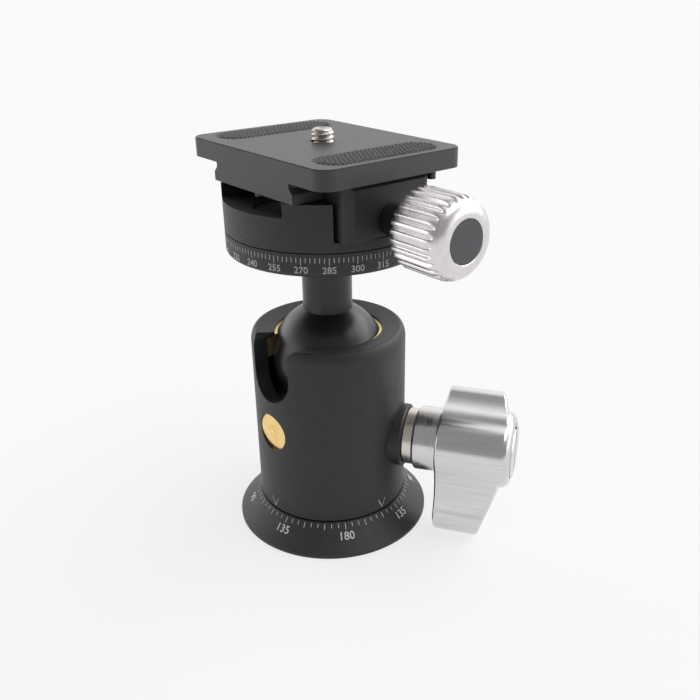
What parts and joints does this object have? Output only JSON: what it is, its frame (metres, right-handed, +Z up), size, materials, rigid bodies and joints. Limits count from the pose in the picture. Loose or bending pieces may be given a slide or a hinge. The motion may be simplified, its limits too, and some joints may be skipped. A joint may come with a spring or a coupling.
{
  "type": "tripod ball head",
  "caption": "Compact ball head for a camera tripod, with a panning base, a drop notch, a lobed lock knob, an indexed ring and a screw clamp holding a quick-release plate.",
  "frame": {"origin": "centre of the tripod thread's mouth, on the underside of the base", "axes": "+Z up along the head's axis, +X out along the main lock knob, right-handed"},
  "size_m": [0.0991, 0.0743, 0.1262],
  "materials": {
    "black_anodised": "satin black anodised",
    "black_ball": "semi-gloss black anodised",
    "silver_aluminium": "clear anodised, finely turned",
    "grey_aluminium": "plain machined",
    "steel": "bright machined",
    "warm_steel": "ground",
    "black_steel": "black oxide",
    "gold_brass": "satin gold",
    "white_nylon": "moulded",
    "black_plastic": "gloss",
    "black_rubber": "diamond grip",
    "level_fluid": "green level fluid",
    "level_bubble": "clear",
    "clear_glass": "polished"
  },
  "bodies": {
    "base": {"base_flange": "black_anodised", "pan_washer": "white_nylon", "pan_retainer": "steel", "pan_screws": "black_steel"},
    "housing": {"housing": "black_anodised", "housing_floor": "grey_aluminium", "wedge_guide": "steel", "ball_collar": "gold_brass", "lock_bushing": "black_anodised", "side_plug": "gold_brass"},
    "wedge": {"lock_wedge": "steel"},
    "cup": {"ball_cup": "grey_aluminium"},
    "lock": {"lock_stud": "steel", "knob_sleeve": "warm_steel", "knob_collar": "silver_aluminium", "lock_knob": "silver_aluminium", "knob_set_screw": "black_steel"},
    "dial": {"friction_dial": "silver_aluminium"},
    "pan_pad": {"pan_lock_pad": "gold_brass"},
    "pan_knob": {"pan_lock_screw": "steel", "pan_lock_knob": "silver_aluminium"},
    "ball": {"ball_stem": "black_ball", "scale_ring": "black_anodised", "clamp_washer": "white_nylon", "clamp_retainer": "steel", "stem_screw": "black_steel", "retainer_pins": "steel"},
    "ring_pad": {"ring_lock_pad": "gold_brass"},
    "ring_knob": {"ring_lock_screw": "steel", "ring_lock_knob": "silver_aluminium"},
    "clamp": {"clamp_body": "black_anodised", "level_cup": "silver_aluminium", "level_fluid": "level_fluid", "level_bubble": "level_bubble", "level_glass": "clear_glass"},
    "jaw": {"movable_jaw": "black_anodised", "jaw_guide_pins": "steel", "jaw_springs": "steel"},
    "jaw_knob": {"clamp_screw": "steel", "clamp_spacer": "black_plastic", "clamp_knob": "silver_aluminium", "knob_insert": "black_plastic"},
    "plate": {"plate": "black_anodised", "grip_pads": "black_rubber", "plate_stops": "steel"},
    "camera_screw": {"camera_screw": "steel"}
  },
  "joints": [
    {"name": "base_pan", "type": "hinge", "parent": "base", "child": "housing", "pos_m": [0, 0, 0.01], "axis": [0, 0, 1], "continuous": true},
    {"name": "wedge_slide", "type": "slide", "parent": "housing", "child": "wedge", "axis": [1, 0, 0], "range_m": [0, 0.0009]},
    {"name": "lock_turn", "type": "hinge", "parent": "wedge", "child": "lock", "pos_m": [0.03, 0, 0.0309], "axis": [1, 0, 0], "range_deg": [0, 260]},
    {"name": "dial_turn", "type": "hinge", "parent": "lock", "child": "dial", "pos_m": [0.06, 0, 0.0309], "axis": [1, 0, 0], "range_deg": [0, 270]},
    {"name": "cup_lift", "type": "slide", "parent": "housing", "child": "cup", "axis": [0, 0, 1], "range_m": [-0.00016, 0]},
    {"name": "pan_pad_slide", "type": "slide", "parent": "housing", "child": "pan_pad", "axis": [-0.5, 0.866, 0], "range_m": [0, 0.0008]},
    {"name": "pan_lock_turn", "type": "hinge", "parent": "pan_pad", "child": "pan_knob", "pos_m": [-0.0125, 0.02165, 0.0147], "axis": [-0.5, 0.866, 0], "range_deg": [0, 360]},
    {"name": "ball_tilt", "type": "hinge", "parent": "housing", "child": "ball", "pos_m": [0, 0, 0.0562], "axis": [0.866, -0.5, 0], "range_deg": [-33, 90]},
    {"name": "ring_pad_slide", "type": "slide", "parent": "ball", "child": "ring_pad", "axis": [-0.5, 0.866, 0], "range_m": [0, 0.0005]},
    {"name": "ring_lock_turn", "type": "hinge", "parent": "ring_pad", "child": "ring_knob", "pos_m": [-0.015, 0.02598, 0.0966], "axis": [-0.5, 0.866, 0], "range_deg": [0, 360]},
    {"name": "clamp_pan", "type": "hinge", "parent": "ball", "child": "clamp", "pos_m": [0, 0, 0.1], "axis": [0, 0, 1], "continuous": true},
    {"name": "jaw_slide", "type": "slide", "parent": "clamp", "child": "jaw", "axis": [0.8434, -0.5373, 0], "range_m": [0, 0.003]},
    {"name": "clamp_knob_turn", "type": "hinge", "parent": "jaw", "child": "jaw_knob", "pos_m": [0.0253, -0.01612, 0.1063], "axis": [0.8434, -0.5373, 0], "range_deg": [0, 1080]},
    {"name": "plate_slide", "type": "slide", "parent": "clamp", "child": "plate", "axis": [0.5373, 0.8434, 0], "range_m": [-0.0003, 0.0064]},
    {"name": "camera_screw_turn", "type": "hinge", "parent": "plate", "child": "camera_screw", "pos_m": [0, 0, 0.12], "axis": [0, 0, 1], "continuous": true}
  ],
  "couplings": [
    {"joint": "lock_turn", "follows": "wedge_slide", "rad_per_m": 5026.5},
    {"joint": "cup_lift", "follows": "wedge_slide", "ratio": -0.17633},
    {"joint": "pan_lock_turn", "follows": "pan_pad_slide", "rad_per_m": 7854},
    {"joint": "ring_lock_turn", "follows": "ring_pad_slide", "rad_per_m": 12566},
    {"joint": "clamp_knob_turn", "follows": "jaw_slide", "rad_per_m": 6283.2}
  ]
}
